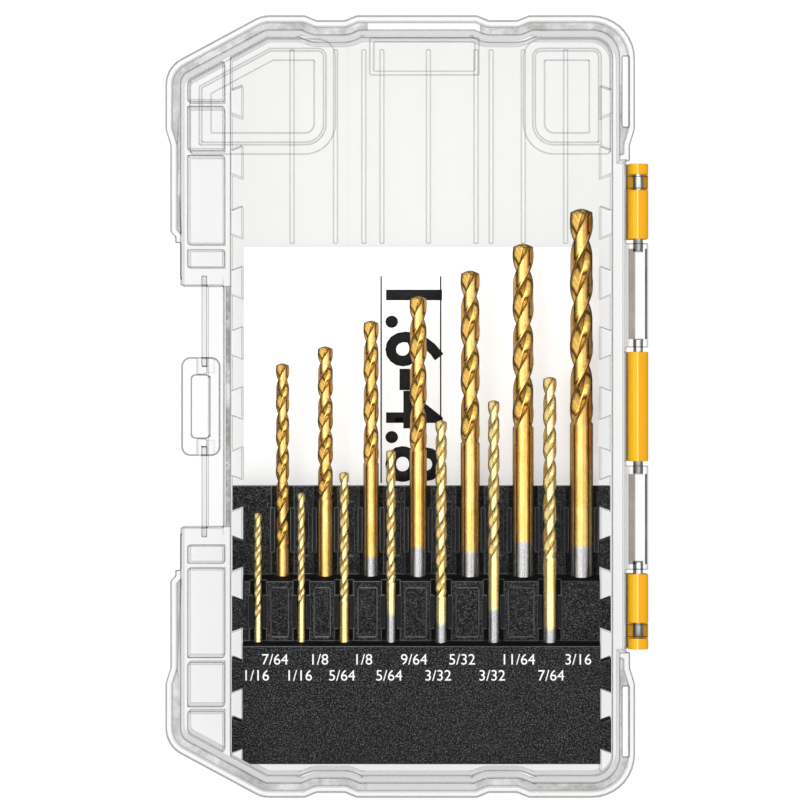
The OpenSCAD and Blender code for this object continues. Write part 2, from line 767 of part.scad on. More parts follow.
module bit_holder() {
    left = bay_left + rail_gap;
    right = bay_right - rail_gap;
    color(black_tint) union() {
        difference() {
            intersection() {
                union() {
                    box_between([left, holder_end, floor_t], [right, low_y, low_axis_z]);
                    raised_block(left, right, high_y, low_axis_z, high_axis_z);
                    raised_block(left, right, panel_y, high_axis_z, panel_z);
                }
                linear_extrude(panel_z + over) inside_plan(-rail_gap);
            }
            translate([0, 0, floor_t - over]) linear_extrude(panel_h + 2 * over) teeth_plan(rail_gap);
            for (i = [0:len(long_x) - 1])
                bit_cut(long_x[i], bit_d(long_64ths[i]), low_axis_z, high_y, low_step_l);
            for (i = [0:len(short_x) - 1])
                bit_cut(short_x[i], bit_d(short_64ths[i]), high_axis_z, panel_y, high_step_l);
            sunk_panels(long_x, long_64ths, low_axis_z,
                        high_y + low_sunk_back, low_y - low_sunk_front);
            sunk_panels(short_x, short_64ths, high_axis_z,
                        panel_y + high_sunk_back, high_y - high_sunk_front);
        }
        for (i = [0:len(long_x) - 1])
            fingers(long_x[i], bit_d(long_64ths[i]), low_axis_z, low_y - low_finger_gap, low_finger_l);
        for (i = [0:len(short_x) - 1])
            fingers(short_x[i], bit_d(short_64ths[i]), high_axis_z, high_y - high_finger_gap, high_finger_l);
    }
}

module backing_card() {
    side = tooth_d + card_gap;
    color(card_tint)
        box_between([bay_left + side, low_y + card_gap, floor_t],
                    [bay_right - side, low_y + card_gap + card_l, floor_t + card_t]);
}

// ---- Drill bits ----

// Radius of the fluted section at angle a, as a share of the bit's radius: the web lies within the first
// step of angle beside 0 and 180, the flutes' edges one step on, and the lands in between
function flute_share(a) =
    let (off = abs(a % 180 > 90 ? a % 180 - 180 : a % 180))
    off < flute_step ? web_share : off < 2 * flute_step ? flute_edge_share : 1;

// A bit whose shank starts at y0, with two flutes that wind up to its point
module drill_bit(x, axis, y0, in_64ths, l, flute_l) {
    r = bit_d(in_64ths) / 2;
    tip_l = point_share * r;
    wound_l = flute_l - tip_l + bite;
    turns = wound_l / (flute_pitch * 2 * r);
    color(gold_tint) translate([x, y0, axis]) rotate([-90, 0, 0]) {
        cylinder(r = r, h = l - flute_l);
        translate([0, 0, l - flute_l - bite])
            linear_extrude(wound_l, twist = -360 * turns, slices = ceil(8 * turns), segments = 12)
                polygon([for (a = [0:flute_step:360 - flute_step])
                    (r - seat_gap) * flute_share(a) * [cos(a), sin(a)]]);
        translate([0, 0, l - tip_l - bite])
            cylinder(r1 = point_foot_share * r, r2 = chisel_share * r, h = tip_l + bite);
    }
}

module long_bit(i) {
    drill_bit(long_x[i - 1], low_axis_z, high_y - socket_l,
              long_64ths[i - 1], long_l[i - 1], long_flute_l[i - 1]);
}

module short_bit(i) {
    drill_bit(short_x[i - 1], high_axis_z, panel_y - socket_l,
              short_64ths[i - 1], short_l[i - 1], short_flute_l[i - 1]);
}

base_shell();
lid_shell();
hinge_knuckle_upper();
hinge_knuckle_middle();
hinge_knuckle_lower();
hinge_pin_upper();
hinge_pin_middle();
hinge_pin_lower();
latch();
latch_pin_upper();
latch_pin_lower();
bit_holder();
backing_card();
long_bit(1);  // long_bit_1
long_bit(2);  // long_bit_2
long_bit(3);  // long_bit_3
long_bit(4);  // long_bit_4
long_bit(5);  // long_bit_5
long_bit(6);  // long_bit_6
long_bit(7);  // long_bit_7
short_bit(1);  // short_bit_1
short_bit(2);  // short_bit_2
short_bit(3);  // short_bit_3
short_bit(4);  // short_bit_4
short_bit(5);  // short_bit_5
short_bit(6);  // short_bit_6
short_bit(7);  // short_bit_7
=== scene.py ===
import math

import bmesh
import bpy
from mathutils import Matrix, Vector


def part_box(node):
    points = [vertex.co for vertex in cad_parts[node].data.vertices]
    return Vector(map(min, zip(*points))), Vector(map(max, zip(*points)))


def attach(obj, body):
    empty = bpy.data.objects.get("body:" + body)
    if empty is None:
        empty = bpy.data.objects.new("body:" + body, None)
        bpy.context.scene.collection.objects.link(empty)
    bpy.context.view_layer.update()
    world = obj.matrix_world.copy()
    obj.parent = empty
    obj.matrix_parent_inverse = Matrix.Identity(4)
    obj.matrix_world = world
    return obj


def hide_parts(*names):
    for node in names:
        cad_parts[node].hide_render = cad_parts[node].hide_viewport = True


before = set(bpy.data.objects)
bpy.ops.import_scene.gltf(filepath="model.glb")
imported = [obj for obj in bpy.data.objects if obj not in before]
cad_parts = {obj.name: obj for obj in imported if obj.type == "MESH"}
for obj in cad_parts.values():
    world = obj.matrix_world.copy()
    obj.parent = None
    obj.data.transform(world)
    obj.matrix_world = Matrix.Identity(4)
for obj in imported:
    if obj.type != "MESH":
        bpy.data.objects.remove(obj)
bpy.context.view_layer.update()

MM = 0.001

# ---- The photograph's frame: places in its 800 x 800 pixels, in metres on the part ----
PIXEL = 0.205 * MM
CENTRE_X_PX = 400.2
CENTRE_Y_PX = 406.5
PICTURE = 800


def px_x(x):
    return (x - CENTRE_X_PX) * PIXEL


def px_y(y):
    return (CENTRE_Y_PX - y) * PIXEL


# ---- Heights on the part, read from the frame ----
PANEL_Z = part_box("bit_holder")[1][2]
SEAM_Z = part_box("base_shell")[1][2]
CARD_LOW, CARD_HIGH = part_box("backing_card")


# ---- Node materials ----

def new_material(name):
    mat = bpy.data.materials.new(name)
    mat.use_nodes = True
    mat.node_tree.nodes.clear()
    return mat, mat.node_tree.nodes, mat.node_tree.links


def node(nodes, kind, **values):
    """A new node. Each value goes to the input of its name or, if there is none, to the property."""
    made = nodes.new(kind)
    for key, value in values.items():
        if key in made.inputs:
            made.inputs[key].default_value = value
        else:
            setattr(made, key, value)
    return made


def ramp(nodes, links, source, stops):
    """A ramp over source, whose stops are (place, colour) or (place, (grey,))."""
    made = nodes.new("ShaderNodeValToRGB")
    while len(made.color_ramp.elements) < len(stops):
        made.color_ramp.elements.new(0.5)
    for element, (place, colour) in zip(made.color_ramp.elements, stops):
        element.position = place
        element.color = (*colour, 1) if len(colour) == 3 else (colour[0],) * 3 + (1,)
    links.new(source, made.inputs["Fac"])
    return made.outputs["Color"]


def noise(nodes, links, coords, scale, detail=2.0, roughness=0.5):
    made = node(nodes, "ShaderNodeTexNoise", Scale=scale, Detail=detail, Roughness=roughness)
    links.new(coords, made.inputs["Vector"])
    return made.outputs["Fac"]


def bump(nodes, links, height, distance, strength, under=None):
    made = node(nodes, "ShaderNodeBump", Distance=distance, Strength=strength)
    links.new(height, made.inputs["Height"])
    if under is not None:
        links.new(under, made.inputs["Normal"])
    return made.outputs["Normal"]


def principled(nodes, **values):
    shader = nodes.new("ShaderNodeBsdfPrincipled")
    for key, value in values.items():
        shader.inputs[key].default_value = value
    return shader


def finish_material(nodes, links, shader_socket):
    out = nodes.new("ShaderNodeOutputMaterial")
    links.new(shader_socket, out.inputs["Surface"])


def math_node(nodes, links, operation, a, b):
    made = nodes.new("ShaderNodeMath")
    made.operation = operation
    for socket, value in zip(made.inputs, (a, b)):
        if isinstance(value, (int, float)):
            socket.default_value = value
        else:
            links.new(value, socket)
    return made.outputs[0]


def mix_colour(nodes, links, factor, a, b):
    made = nodes.new("ShaderNodeMix")
    made.data_type = "RGBA"
    for socket, value in zip((made.inputs[0], made.inputs[6], made.inputs[7]), (factor, a, b)):
        if isinstance(value, tuple):
            socket.default_value = (*value, 1)
        elif isinstance(value, (int, float)):
            socket.default_value = value
        else:
            links.new(value, socket)
    return made.outputs[2]


def between(nodes, links, value, low, high):
    """1 where value lies between low and high, else 0."""
    near = math_node(nodes, links, "COMPARE", value, (low + high) / 2)
    near.node.inputs[2].default_value = (high - low) / 2
    return near


def all_of(nodes, links, *masks):
    """The product of the masks, which is 1 where all of them are."""
    out = masks[0]
    for mask in masks[1:]:
        out = math_node(nodes, links, "MULTIPLY", out, mask)
    return out


def clear_plastic(name, tint, edge_tint, haze, edge_haze, patches=()):
    """Clear polished plastic: it passes light with a faint tint, and greys and mirrors more at a slant.
    Each patch is (colour, blotch stops, x range, range of |y|, z range, y range) and paints shade, or lifts
    it, into the colour passed through on a part of the surface; a range of None or left out holds
    everywhere."""
    mat, nodes, links = new_material(name)
    coords = nodes.new("ShaderNodeTexCoord").outputs["Object"]
    slant = node(nodes, "ShaderNodeLayerWeight", Blend=0.3).outputs["Facing"]
    waves = noise(nodes, links, coords, 45, 3)
    fine = noise(nodes, links, coords, 900, 2)
    haze_share = ramp(nodes, links, slant, [(0.0, (haze,)), (0.5, (haze * 2,)), (0.95, (edge_haze,))])
    slope = ramp(nodes, links, slant, [(0.2, (0,)), (0.45, (1,)), (0.8, (1,)), (0.93, (0.2,))])
    through = mix_colour(nodes, links, slope, tint, edge_tint)
    place = nodes.new("ShaderNodeSeparateXYZ")
    links.new(coords, place.inputs[0])
    long_y = math_node(nodes, links, "ABSOLUTE", place.outputs["Y"], 0)
    axes = (place.outputs["X"], long_y, place.outputs["Z"], place.outputs["Y"])
    # painted shade: each patch greys or clears the colour passed through in its place
    for colour, stops, *ranges in patches:
        masks = [between(nodes, links, value, *reach) for value, reach in zip(axes, ranges) if reach]
        blotches = ramp(nodes, links, noise(nodes, links, coords, 95, 5, 0.75), stops)
        through = mix_colour(nodes, links, all_of(nodes, links, *masks, blotches), through, colour)
    shader = principled(nodes, **{"Base Color": (0.93, 0.94, 0.94, 1), "Roughness": 0.09, "IOR": 1.5})
    links.new(bump(nodes, links, waves, 0.0004, 0.25, bump(nodes, links, fine, 0.00002, 0.2)),
              shader.inputs["Normal"])
    glass = nodes.new("ShaderNodeBsdfTransparent")
    links.new(through, glass.inputs["Color"])
    mix = nodes.new("ShaderNodeMixShader")
    links.new(haze_share, mix.inputs["Fac"])
    links.new(glass.outputs[0], mix.inputs[1])
    links.new(shader.outputs[0], mix.inputs[2])
    finish_material(nodes, links, mix.outputs[0])
    return mat


def moulded_plastic(name, colour, dark, rough, grain_scale, grain_depth, speckle=None, painted_light_levels=(), shine=0.5):
    """Opaque moulded plastic with a fine spark-eroded grain, faint flow colour, an optional speckle
    (scale, colour), and painted light or shade as other colours at painted_light_levels (axis, low, high,
    colour)."""
    mat, nodes, links = new_material(name)
    coords = nodes.new("ShaderNodeTexCoord").outputs["Object"]
    flow = noise(nodes, links, coords, 40, 3)
    grain = noise(nodes, links, coords, grain_scale, 3, 0.6)
    paint = mix_colour(nodes, links, ramp(nodes, links, flow, [(0.35, (0,)), (0.65, (1,))]), colour, dark)
    if speckle:
        specks = ramp(nodes, links, noise(nodes, links, coords, speckle[0], 2, 0.8),
                      [(0.5, (0,)), (0.7, (1,))])
        paint = mix_colour(nodes, links, specks, paint, speckle[1])
    place = nodes.new("ShaderNodeSeparateXYZ")
    links.new(coords, place.inputs[0])
    for axis, low, high, level_colour in painted_light_levels:
        level = between(nodes, links, place.outputs[axis], low, high)
        paint = mix_colour(nodes, links, level, paint, level_colour)
    shader = principled(nodes, **{"IOR": 1.46, "Specular IOR Level": shine})
    links.new(paint, shader.inputs["Base Color"])
    links.new(ramp(nodes, links, grain, [(0.3, (rough - 0.08,)), (0.7, (rough + 0.1,))]),
              shader.inputs["Roughness"])
    links.new(bump(nodes, links, grain, grain_depth, 0.5), shader.inputs["Normal"])
    finish_material(nodes, links, shader.outputs[0])
    return mat


def drawn_steel(name):
    """Steel with fine lines along Y."""
    mat, nodes, links = new_material(name)
    coords = nodes.new("ShaderNodeTexCoord").outputs["Object"]
    stretch = node(nodes, "ShaderNodeMapping", Scale=(1.0, 0.04, 1.0))
    links.new(coords, stretch.inputs["Vector"])
    lines = noise(nodes, links, stretch.outputs["Vector"], 2600, 3)
    shader = principled(nodes, **{"Metallic": 1.0})
    links.new(mix_colour(nodes, links, lines, (0.6, 0.6, 0.61), (0.85, 0.85, 0.86)),
              shader.inputs["Base Color"])
    links.new(ramp(nodes, links, lines, [(0.3, (0.24,)), (0.7, (0.4,))]), shader.inputs["Roughness"])
    finish_material(nodes, links, shader.outputs[0])
    return mat


def nitride_steel(name):
    """Gold nitride coat over ground steel, paler on the short row, whose bits lie over SHORT_ROW_Z. The
    mesh's "bare" attribute is 1 on the bare shank end, "flute" is 1 down in a flute, and "shade" is 1 along
    the lands' edges, where a painted shade line runs. A painted dark reflection of the horizon runs along
    each side of a round and darkens it towards its rims, and the flutes are painted a brighter gold as
    painted light."""
    mat, nodes, links = new_material(name)
    coords = nodes.new("ShaderNodeTexCoord").outputs["Object"]
    bare = node(nodes, "ShaderNodeAttribute", attribute_name="bare").outputs["Fac"]
    flute = node(nodes, "ShaderNodeAttribute", attribute_name="flute").outputs["Fac"]
    shade = node(nodes, "ShaderNodeAttribute", attribute_name="shade").outputs["Fac"]
    slant = node(nodes, "ShaderNodeLayerWeight", Blend=0.5).outputs["Facing"]
    place = nodes.new("ShaderNodeSeparateXYZ")
    links.new(coords, place.inputs[0])
    short_row = math_node(nodes, links, "GREATER_THAN", place.outputs["Z"], SHORT_ROW_Z)
    # Painted reflection: a thin dark line and a darker rim by slant on the long row, a softer darkening on
    # the short row
    long_painted_rim_reflection = ramp(nodes, links, slant, [(0.14, (0,)), (0.17, (0.9,)), (0.24, (0.9,)),
                                          (0.28, (0.05,)), (0.5, (0.2,)), (0.8, (0.95,))])
    short_painted_rim_reflection = ramp(nodes, links, slant, [(0.3, (0,)), (0.5, (0.25,)), (0.85, (0.9,))])
    long_row = math_node(nodes, links, "SUBTRACT", 1.0, short_row)
    painted_rim_reflection = math_node(nodes, links, "ADD",
                    math_node(nodes, links, "MULTIPLY", long_painted_rim_reflection, long_row),
                    math_node(nodes, links, "MULTIPLY", short_painted_rim_reflection, short_row))
    along = node(nodes, "ShaderNodeMapping", Scale=(1.0, 0.06, 1.0))
    links.new(coords, along.inputs["Vector"])
    grinding = noise(nodes, links, along.outputs["Vector"], 2400, 3, 0.6)
    patches = ramp(nodes, links, noise(nodes, links, coords, 220, 3), [(0.3, (0,)), (0.7, (1,))])
    orange = mix_colour(nodes, links, patches, (0.8, 0.45, 0.11), (0.92, 0.6, 0.21))
    pale = mix_colour(nodes, links, patches, (0.9, 0.68, 0.25), (1.0, 0.84, 0.42))
    gold = mix_colour(nodes, links, short_row, orange, pale)
    # Painted light: the flutes get a brighter gold than the lands to offset their shade
    flute_painted_light = mix_colour(nodes, links, short_row, (1.0, 0.62, 0.14), (1.0, 0.78, 0.3))
    gold = mix_colour(nodes, links, flute, gold, flute_painted_light)
    gold = mix_colour(nodes, links, painted_rim_reflection, gold, (0.14, 0.07, 0.012))
    # painted shade along the lands' edges
    gold = mix_colour(nodes, links, shade, gold, (0.09, 0.045, 0.01))
    steel = mix_colour(nodes, links, grinding, (0.24, 0.24, 0.25), (0.6, 0.6, 0.61))
    # the same painted dark reflection on the bare steel
    steel = mix_colour(nodes, links, painted_rim_reflection, steel, (0.04, 0.04, 0.045))
    shader = nodes.new("ShaderNodeBsdfPrincipled")
    links.new(math_node(nodes, links, "SUBTRACT", 0.86, math_node(nodes, links, "MULTIPLY", flute, 0.12)),
              shader.inputs["Metallic"])
    links.new(mix_colour(nodes, links, bare, gold, steel), shader.inputs["Base Color"])
    links.new(ramp(nodes, links, grinding, [(0.3, (0.2,)), (0.7, (0.32,))]), shader.inputs["Roughness"])
    links.new(bump(nodes, links, grinding, 0.00001, 0.2), shader.inputs["Normal"])
    finish_material(nodes, links, shader.outputs[0])
    return mat


def card_stock(name):
    """White card, which the camera sees a little brighter than the light on it makes it."""
    mat, nodes, links = new_material(name)
    coords = nodes.new("ShaderNodeTexCoord").outputs["Object"]
    fibres = noise(nodes, links, coords, 1400, 4, 0.7)
    path = nodes.new("ShaderNodeLightPath")
    shader = principled(nodes, **{"Roughness": 0.55, "Specular IOR Level": 0.2,
                                  "Emission Color": (1, 1, 1, 1)})
    links.new(mix_colour(nodes, links, fibres, (0.86, 0.86, 0.86), (0.9, 0.9, 0.895)),
              shader.inputs["Base Color"])
    links.new(math_node(nodes, links, "MULTIPLY", path.outputs["Is Camera Ray"], CARD_GLOW),
              shader.inputs["Emission Strength"])
    links.new(bump(nodes, links, fibres, 0.00001, 0.3), shader.inputs["Normal"])
    finish_material(nodes, links, shader.outputs[0])
    return mat


def printed_ink(name, colour):
    """Flat ink, slightly uneven in its cover."""
    mat, nodes, links = new_material(name)
    coords = nodes.new("ShaderNodeTexCoord").outputs["Object"]
    cover = noise(nodes, links, coords, 2200, 3)
    shader = principled(nodes, **{"Roughness": 0.5, "Specular IOR Level": 0.08})
    faded = tuple(0.86 * c + 0.01 for c in colour)
    links.new(mix_colour(nodes, links, cover, faded, colour), shader.inputs["Base Color"])
    finish_material(nodes, links, shader.outputs[0])
    return mat


# Extra light that the card sends to the camera
CARD_GLOW = 0.35
# Height between the long bits' row and the short bits' row
SHORT_ROW_Z = 12.5 * MM

# How the blotches of a patch are spread: (noise, share) stops
CHANNEL = [(0.4, (0.12,)), (0.52, (0.55,)), (0.6, (1,))]
STREAKS = [(0.42, (0.25,)), (0.5, (0.7,)), (0.58, (1,))]
EVEN = [(0.2, (0.6,)), (0.8, (1,))]
FULL = [(0.0, (1,)), (1.0, (1,))]

# Ranges of the clear plastic's painted shade patches, in metres: across X, along Y from the middle or, for
# TOP_Y and BOTTOM_Y, from end to end, and up Z
SEAM_GAP = 0.2 * MM
RIM_T = 2.2 * MM
LEVEL = 0.1 * MM
LID_RIM = (SEAM_Z + SEAM_GAP + RIM_T - LEVEL, SEAM_Z + SEAM_GAP + RIM_T + LEVEL)
BASE_RIM = (SEAM_Z - RIM_T - LEVEL, SEAM_Z - RIM_T + LEVEL)
BESIDE_RECESS = (0.0255, 0.1)
LEFT_CHANNEL_X = (-0.048, -0.0448)
LEFT_CHANNEL_Y = (0.03, 0.075)
TOP_MIDDLE_X = (-0.0066, 0.0163)
TOP_Y = (0.07, 0.08)
BOTTOM_MIDDLE_X = (-0.0067, 0.0153)
BOTTOM_Y = (-0.08, -0.07)
BARREL_Y = (0.0138, 0.0323)
BARREL_SHADE_X = (0.0467, 0.0481)
BARREL_SHADE_LINE_X = (0.05015, 0.0505)
RECESS_WALL_X = (-0.0357, -0.0343)
RECESS_WALL_Y = (0.0, 0.0247)
RECESS_WALL_Z = (0.0188, 0.0192)
BAY_X = (-0.0346, 0.0433)
BAY_Y = (0.0, 0.0752)
TRAY_FLOOR_Z = (-0.0001, 0.0017)
LATCH_Y = (0.0, 0.1)
LATCH_LOW_Z = (0.013, 0.0226)

# Painted shade in the clear lid: grey bands on the rim's face, kept clear at the top middle and lighter at
# the bottom middle, and a grey bar with a dark line in each hinge barrel
lid_painted_shade = [
    ((0.62, 0.615, 0.605), CHANNEL, None, BESIDE_RECESS, LID_RIM),
    ((0.7, 0.7, 0.7), CHANNEL, LEFT_CHANNEL_X, LEFT_CHANNEL_Y, LID_RIM),
    ((1.0, 1.0, 1.0), FULL, TOP_MIDDLE_X, None, LID_RIM, TOP_Y),
    ((0.85, 0.85, 0.85), FULL, BOTTOM_MIDDLE_X, None, LID_RIM, BOTTOM_Y),
    ((0.5, 0.47, 0.43), EVEN, BARREL_SHADE_X, BARREL_Y, None),
    ((0.1, 0.1, 0.1), EVEN, BARREL_SHADE_LINE_X, BARREL_Y, None),
]
# Painted shade in the clear base: grey bands on the rim's face, kept clear at the top middle and lighter at
# the bottom middle, grey streaks on the recess wall, and the tray's floor a little darker inside the bay
base_painted_shade = [
    ((0.72, 0.715, 0.705), CHANNEL, None, BESIDE_RECESS, BASE_RIM),
    ((0.75, 0.75, 0.75), CHANNEL, LEFT_CHANNEL_X, LEFT_CHANNEL_Y, BASE_RIM),
    ((1.0, 1.0, 1.0), FULL, TOP_MIDDLE_X, None, BASE_RIM, TOP_Y),
    ((0.85, 0.85, 0.85), FULL, BOTTOM_MIDDLE_X, None, BASE_RIM, BOTTOM_Y),
    ((0.36, 0.36, 0.36), STREAKS, RECESS_WALL_X, RECESS_WALL_Y, RECESS_WALL_Z),
    ((0.957, 0.956, 0.952), FULL, BAY_X, BAY_Y, TRAY_FLOOR_Z),
]
# On the latch the painted edge shade is lifted to near clear low down
latch_edge_painted_light = [((0.94, 0.94, 0.94), FULL, None, LATCH_Y, LATCH_LOW_Z)]

clear_lid = clear_plastic("clear_lid", (0.978, 0.978, 0.977), (0.72, 0.725, 0.73), 0.0015, 0.12,
                          lid_painted_shade)
clear_base = clear_plastic("clear_base", (0.976, 0.976, 0.975), (0.7, 0.705, 0.71), 0.0015, 0.12,
                           base_painted_shade)
clear_latch = clear_plastic("clear_latch", (0.985, 0.985, 0.984), (0.6, 0.6, 0.6), 0.004, 0.15)
clear_rod = clear_plastic("clear_rod", (0.9, 0.9, 0.9), (0.3, 0.3, 0.3), 0.02, 0.3)
# Painted shade: grey clear plastic for the rounded edges of the shells and the latch
clear_painted_edge_shade = clear_plastic("clear_painted_edge_shade", (0.68, 0.68, 0.68), (0.4, 0.4, 0.4), 0.01, 0.1)
latch_painted_edge_shade = clear_plastic("latch_painted_edge_shade", (0.62, 0.62, 0.62), (0.55, 0.55, 0.55), 0.01, 0.1, latch_edge_painted_light)

# Painted light on the knuckles: their side towards the case is painted paler, as if lit from there, with a
# painted highlight line where it meets the rest
KNUCKLE_HIGHLIGHT_X = 0.0485
KNUCKLE_HIGHLIGHT_END_X = 0.0487
yellow_painted_light = [("X", 0.0, KNUCKLE_HIGHLIGHT_X, (0.92, 0.5, 0.02)),
                 ("X", KNUCKLE_HIGHLIGHT_X, KNUCKLE_HIGHLIGHT_END_X, (1.0, 0.75, 0.25))]
yellow = moulded_plastic("yellow_plastic", (0.75, 0.355, 0.009), (0.73, 0.34, 0.008), 0.45, 1600, 0.00002,
                         painted_light_levels=yellow_painted_light, shine=0.15)

# Heights of the holder's painted shade, darkest on its risers and in its channels, and of the painted
# highlight on its fingers' lighter tops
PAINTED_SHADE_BLACK = (0.0008, 0.0008, 0.001)
PAINTED_SHADE_Z = [(0.0096, 0.01395), (0.01405, 0.0144), (0.0146, 0.0181)]
FINGER_PAINTED_HIGHLIGHT = (0.012, 0.012, 0.015)
FINGER_HIGHLIGHT_Z = [(0.0099, 0.0103), (0.0149, 0.0153)]
black_painted_light = [("Z", *reach, PAINTED_SHADE_BLACK) for reach in PAINTED_SHADE_Z]
black_painted_light += [("Z", *reach, FINGER_PAINTED_HIGHLIGHT) for reach in FINGER_HIGHLIGHT_Z]
black = moulded_plastic("black_plastic", (0.004, 0.004, 0.0045), (0.006, 0.006, 0.0065), 0.62, 2400, 0.00006,
                        speckle=(3400, (0.13, 0.13, 0.135)), painted_light_levels=black_painted_light, shine=0.06)
# Painted highlight: a lighter black for the holder's rounded edges
black_painted_edge_highlight = moulded_plastic("black_painted_edge_highlight", (0.15, 0.15, 0.155), (0.08, 0.08, 0.083), 0.5, 2400, 0.00002,
                             shine=0.3)
pin_steel = drawn_steel("pin_steel")
gold = nitride_steel("nitride_steel")
card_white = card_stock("card_stock")
ink_white = printed_ink("ink_white", (0.9, 0.9, 0.9))
ink_black = printed_ink("ink_black", (0.012, 0.012, 0.013))


# ---- CAD nodes that stay: their finish, and small moulded edge radii ----

# Degrees from which an edge is rounded
SHARP_ANGLE = 35


def dress(name, material, edge, edge_material=None, segments=1, merge=0.002 * MM):
    """The CAD node called name in its material, with edges rounded to a width of edge after points closer
    than merge are joined."""
    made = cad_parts[name]
    made.data.materials.clear()
    made.data.materials.append(material)
    weld = made.modifiers.new("weld", "WELD")
    weld.merge_threshold = merge
    if edge:
        bevel = made.modifiers.new("edges", "BEVEL")
        bevel.width = edge
        bevel.segments = segments
        bevel.limit_method = "ANGLE"
        bevel.angle_limit = math.radians(SHARP_ANGLE)
        bevel.use_clamp_overlap = False
        bevel.miter_outer = "MITER_ARC"
        if edge_material:
            made.data.materials.append(edge_material)
            bevel.material = 1
    return made


# The clear parts' rounded edges take the grey clear plastic as painted shade
dress("base_shell", clear_base, 0.16 * MM, clear_painted_edge_shade)
dress("lid_shell", clear_lid, 0.18 * MM, clear_painted_edge_shade, merge=0.02 * MM)
dress("latch", clear_latch, 0.36 * MM, latch_painted_edge_shade, segments=3, merge=0.1 * MM)
for name in ("latch_pin_upper", "latch_pin_lower"):
    dress(name, clear_rod, 0.08 * MM)
for name in ("hinge_knuckle_upper", "hinge_knuckle_middle", "hinge_knuckle_lower"):
    dress(name, yellow, 0.2 * MM, segments=2)
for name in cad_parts:
    if name.startswith("hinge_pin"):
        dress(name, pin_steel, 0.1 * MM)
# the holder's rounded edges get the painted highlight
dress("bit_holder", black, 0.12 * MM, black_painted_edge_highlight)
dress("backing_card", card_white, 0)


# ---- Meshes made here ----

def add_mesh(name, verts, faces, material, body, smooth=True):
    """A piece made of verts and faces, which moves with body."""
    mesh = bpy.data.meshes.new(name)
    mesh.from_pydata(verts, [], faces)
    mesh.validate()
    made = bpy.data.objects.new(name, mesh)
    bpy.context.scene.collection.objects.link(made)
    made.data.materials.append(material)
    if smooth:
        made.data.shade_smooth()
    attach(made, body)
    return made


# Twist bit section: where the margin and the land end, as shares of a half turn; the flute takes the rest
MARGIN = 0.07
LAND = 0.48
# Stretch over which the margin steps down to the land, and how far, as a share of the radius
MARGIN_STEP = 0.03
LAND_STEP = 0.04
# Width of the painted shade line along a land's edge, as a share of a half turn
EDGE_LINE = 0.05
# Half the web's thickness, as a share of the radius
WEB = 0.34
# Flute pitch in diameters
FLUTE_PITCH = 4.85
# In radii: the flutes' run-out, the chamfer on the shank's end, and the point's length
RUN_OUT = 1.2
CHAMFER = 0.25
POINT_L = 0.34
# Radius of the shank's end as a share of the bit's
END_SHARE = 0.9
# Rings of the point: distance back from the tip in radii, share of the radius, and shade
POINT_RINGS = [(0.3, 0.96, 0.0), (0.15, 0.62, 0.0), (0.05, 0.34, 0.2), (0.0, 0.12, 0.7)]
LIP_SHADE = 0.7
SHANK_STEP = 1.0 * MM
RING_POINTS = 72
RINGS_PER_TURN = 30


def section(turn, depth):
    """(radius share, shade) of a two-flute section at a share of a half turn; depth is 1 at full flute
    depth. Shade rises to 1 in the dark line along each edge of a land and is 0 elsewhere."""
    edge = min(abs(turn - LAND), turn, 1 - turn)
    shade = max(0.0, 1.0 - edge / EDGE_LINE) * depth
    if turn < MARGIN:
        return 1.0, shade
    if turn < LAND:
        rise = min(1.0, (turn - MARGIN) / MARGIN_STEP)
        return 1.0 - LAND_STEP * depth * rise, shade
    along = (turn - LAND) / (1 - LAND)
    bowl = math.sin(math.pi * along ** 0.8) ** 0.7
    return 1.0 - (1.0 - WEB) * depth * bowl, shade


